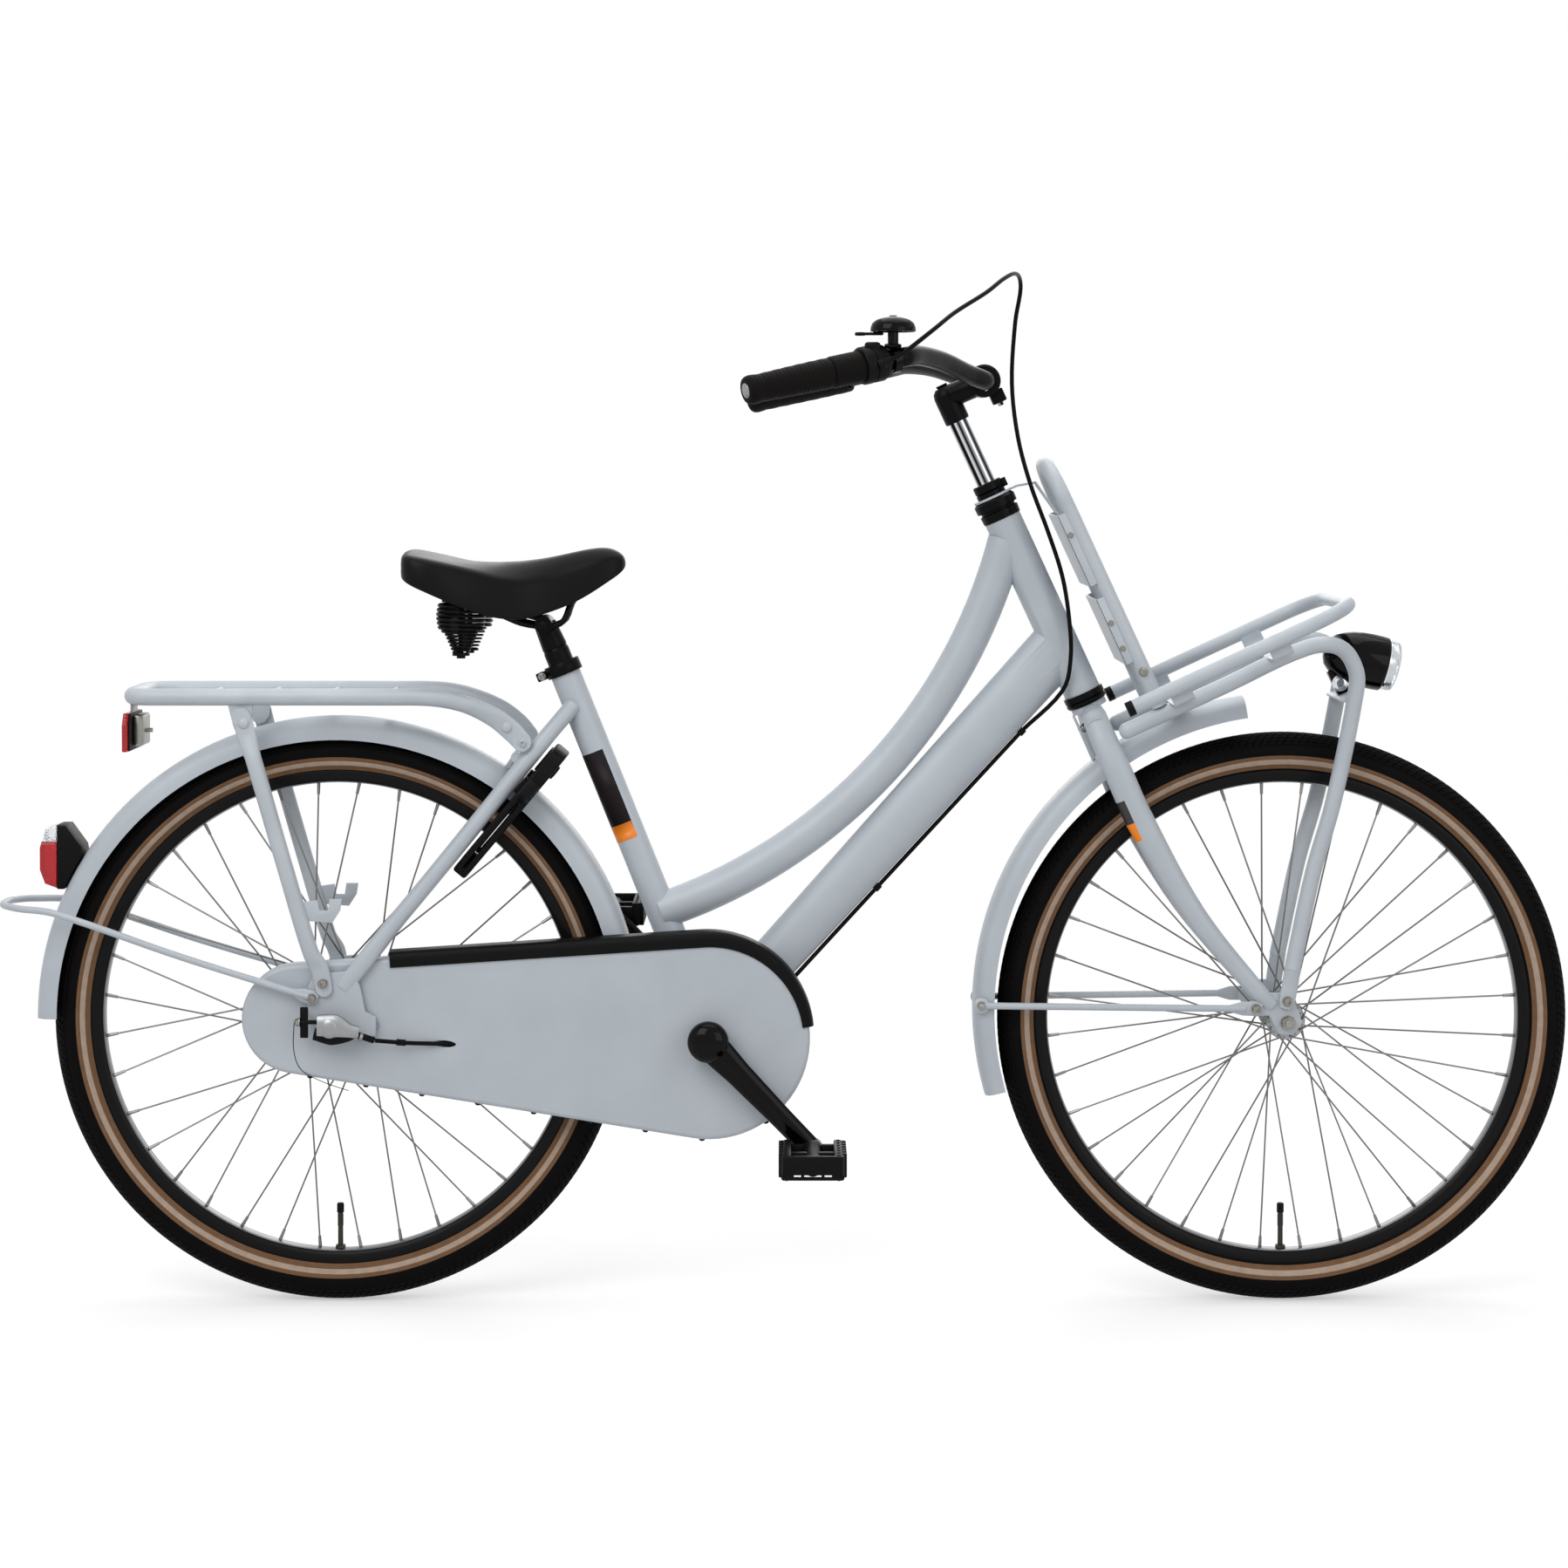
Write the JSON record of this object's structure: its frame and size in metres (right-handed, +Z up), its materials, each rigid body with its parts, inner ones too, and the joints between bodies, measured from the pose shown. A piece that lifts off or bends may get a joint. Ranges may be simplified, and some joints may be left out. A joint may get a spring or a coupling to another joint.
{
  "type": "city bicycle",
  "caption": "Low-step city bicycle with curved top tube, closed chain case, sprung saddle, mudguards, ring lock, lights and front and rear carriers",
  "frame": {"origin": "bottom centre of the whole bicycle's box, on the ground under its middle", "axes": "+X to the front, +Y to the rider's left, +Z up; the drive side is -Y"},
  "size_m": [1.8146, 0.626, 1.1853],
  "materials": {
    "frame_paint": "satin",
    "carrier_paint": "satin",
    "black_paint": "satin",
    "black_plastic": "matt",
    "tyre_rubber": "matt",
    "grip_rubber": "matt",
    "bright_steel": "brushed",
    "gloss_black": "gloss",
    "dark_steel": "dull",
    "red_lens": "gloss",
    "clear_lens": "gloss",
    "saddle_cover": "satin"
  },
  "bodies": {
    "frame": {"frame": "frame_paint", "lower_headset_cup": "black_paint", "upper_headset_cup": "black_paint", "seat_clamp": "black_paint", "rear_mudguard": "frame_paint", "rear_mudguard_hoop": "frame_paint", "rear_rack": "carrier_paint", "right_rack_leg": "carrier_paint", "left_rack_leg": "carrier_paint", "rear_reflector": "red_lens", "rear_light_body": "black_plastic", "rear_light_lens": "red_lens", "ring_lock_body": "black_plastic", "chain_case": "frame_paint", "chain_case_trim": "black_plastic", "chain": "dark_steel", "rear_axle": "bright_steel", "gear_changer": "bright_steel", "gear_cable": "black_plastic", "cable_loop": "black_plastic", "brake_arm": "bright_steel"},
    "steering": {"fork": "frame_paint", "headset_locknut": "black_paint", "stem": "black_paint", "handlebar": "black_paint", "right_grip": "grip_rubber", "left_grip": "grip_rubber", "shifter_housing": "black_plastic", "bell_dome": "black_plastic", "front_carrier": "carrier_paint", "carrier_backrest": "carrier_paint", "headlight_body": "black_plastic", "headlight_lens": "clear_lens", "front_mudguard": "frame_paint", "right_mudguard_stay": "frame_paint", "left_mudguard_stay": "frame_paint", "front_axle": "bright_steel"},
    "front_wheel": {"front_tyre": "tyre_rubber", "front_rim": "black_paint", "front_hub_and_spokes": "bright_steel"},
    "rear_wheel": {"rear_tyre": "tyre_rubber", "rear_rim": "black_paint", "rear_hub_and_spokes": "bright_steel"},
    "crankset": {"right_crank": "gloss_black", "left_crank": "gloss_black", "crank_axle": "bright_steel", "chainring": "bright_steel"},
    "sprocket": {"sprocket": "dark_steel"},
    "right_pedal": {"right_pedal": "black_plastic"},
    "left_pedal": {"left_pedal": "black_plastic"},
    "shifter_sleeve": {"shifter_sleeve": "grip_rubber"},
    "bell_lever": {"bell_lever": "black_plastic"},
    "lock_bow": {"lock_bow": "black_plastic"},
    "seat": {"seatpost": "black_paint", "saddle": "saddle_cover", "right_saddle_spring": "black_paint", "left_saddle_spring": "black_paint", "saddle_frame": "black_paint"}
  },
  "joints": [
    {"name": "steering", "type": "hinge", "parent": "frame", "child": "steering", "pos_m": [0.35072, 0, 0.69137], "axis": [-0.4195, 0, 0.9078], "range_deg": [-65, 65], "deforming": ["cable_loop"]},
    {"name": "front_wheel_spin", "type": "hinge", "parent": "steering", "child": "front_wheel", "pos_m": [0.57554, 0, 0.3295], "axis": [0, 1, 0], "continuous": true},
    {"name": "rear_wheel_spin", "type": "hinge", "parent": "frame", "child": "rear_wheel", "pos_m": [-0.51546, 0, 0.3295], "axis": [0, 1, 0], "continuous": true},
    {"name": "crank_spin", "type": "hinge", "parent": "frame", "child": "crankset", "pos_m": [-0.08676, 0, 0.312], "axis": [0, 1, 0], "continuous": true, "deforming": ["chain"]},
    {"name": "sprocket_spin", "type": "hinge", "parent": "frame", "child": "sprocket", "pos_m": [-0.51546, 0, 0.3295], "axis": [0, 1, 0], "continuous": true},
    {"name": "right_pedal_spin", "type": "hinge", "parent": "crankset", "child": "right_pedal", "pos_m": [0.03133, -0.143, 0.18971], "axis": [0, 1, 0], "continuous": true},
    {"name": "left_pedal_spin", "type": "hinge", "parent": "crankset", "child": "left_pedal", "pos_m": [-0.20485, 0.143, 0.43429], "axis": [0, 1, 0], "continuous": true},
    {"name": "gear_twist", "type": "hinge", "parent": "steering", "child": "shifter_sleeve", "pos_m": [-0.03769, -0.297, 1.04729], "axis": [-0.8811, -0.4297, -0.1977], "range_deg": [0, 70]},
    {"name": "bell_press", "type": "hinge", "parent": "steering", "child": "bell_lever", "pos_m": [0.11826, -0.22094, 1.11028], "axis": [0, 0, 1], "range_deg": [0, 25], "stiffness_Nm_per_rad": 0.05},
    {"name": "lock_close", "type": "hinge", "parent": "frame", "child": "lock_bow", "pos_m": [-0.32905, 0, 0.55165], "axis": [0.766, 0, -0.6428], "range_deg": [0, 75]},
    {"name": "seatpost_height", "type": "slide", "parent": "frame", "child": "seat", "axis": [-0.373, 0, 0.9278], "range_m": [-0.01, 0.1]}
  ],
  "couplings": [
    {"joint": "sprocket_spin", "follows": "crank_spin", "ratio": 2.2}
  ]
}
